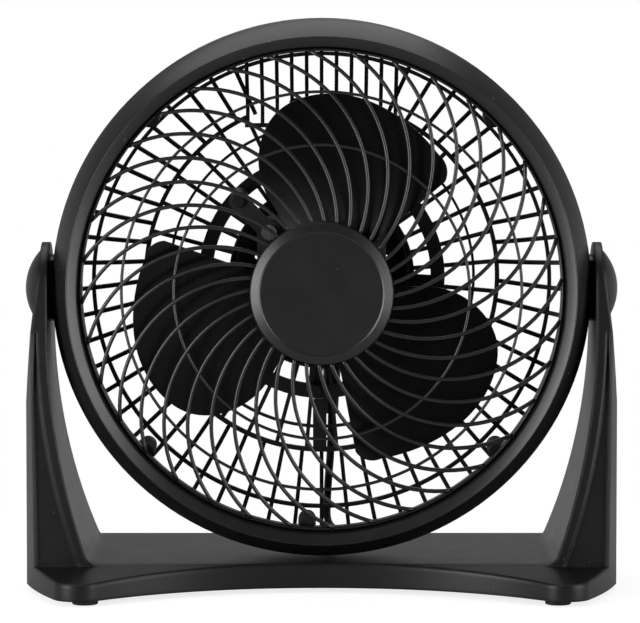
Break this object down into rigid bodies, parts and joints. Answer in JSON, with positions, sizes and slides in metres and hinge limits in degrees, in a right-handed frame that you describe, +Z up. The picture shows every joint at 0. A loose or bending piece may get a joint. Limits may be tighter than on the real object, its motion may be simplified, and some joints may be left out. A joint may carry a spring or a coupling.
{
  "type": "air circulator fan",
  "caption": "Table-top air circulator fan: round head with a spiral front grille, tilting between the two legs of a U-shaped stand, with a speed knob on the rear motor cover",
  "frame": {"origin": "middle of the stand on the table surface, below the middle of its depth", "axes": "+X to the right seen from the front, +Y to the back, +Z up; the fan blows towards -Y"},
  "size_m": [0.277, 0.2355, 0.2671],
  "materials": {
    "black_plastic": "fine satin-matte moulded black plastic",
    "black_gloss": "smooth semi-gloss black polypropylene",
    "foot_rubber": "soft matte rubber pad",
    "steel_screw": "zinc-plated screw",
    "black_screw": "black oxide screw",
    "washer_plastic": "natural nylon friction washer",
    "lamination": "varnished steel laminations",
    "copper_wire": "enamelled copper wire under varnish",
    "cast_alloy": "die-cast aluminium, sand finish",
    "bronze": "oil-filled sintered bronze",
    "bright_steel": "ground steel",
    "switch_body": "cream switch housing",
    "cord_black": "matte black flexible cord"
  },
  "bodies": {
    "stand": {"stand": "black_plastic", "feet": "foot_rubber", "right_pivot_cap": "black_plastic", "left_pivot_cap": "black_plastic", "pivot_washers": "washer_plastic", "cord_drop": "cord_black", "cord_coil": "cord_black", "cord_tail": "cord_black", "coil_tie": "cord_black", "plug": "cord_black", "plug_pins": "bright_steel"},
    "head": {"pivot_screws": "steel_screw", "front_shroud": "black_plastic", "front_grille": "black_plastic", "centre_cap": "black_plastic", "rear_grille": "black_plastic", "stator_stack": "lamination", "stator_coils": "copper_wire", "front_bracket": "cast_alloy", "rear_bracket": "cast_alloy", "bearings": "bronze", "motor_screws": "steel_screw", "motor_nuts": "steel_screw", "motor_mount_screws": "steel_screw", "grille_screws": "black_screw", "rear_cover": "black_plastic", "cover_screws": "black_screw", "speed_switch": "switch_body", "strain_relief": "cord_black"},
    "spinner": {"impeller": "black_gloss", "hub_clip": "bright_steel", "rotor": "cast_alloy", "shaft": "bright_steel"},
    "knob": {"speed_knob": "black_gloss", "switch_spindle": "bright_steel"}
  },
  "joints": [
    {"name": "head_tilt", "type": "hinge", "parent": "stand", "child": "head", "pos_m": [0, -0.011, 0.1408], "axis": [-1, 0, 0], "range_deg": [0, 93.6], "deforming": ["cord_drop"]},
    {"name": "impeller_spin", "type": "hinge", "parent": "head", "child": "spinner", "pos_m": [0, -0.011, 0.1408], "axis": [0, -0.998, -0.0628], "continuous": true},
    {"name": "speed_knob_turn", "type": "hinge", "parent": "head", "child": "knob", "pos_m": [0, 0.06285, 0.14545], "axis": [0, 0.998, 0.0628], "range_deg": [-135, 0]}
  ]
}
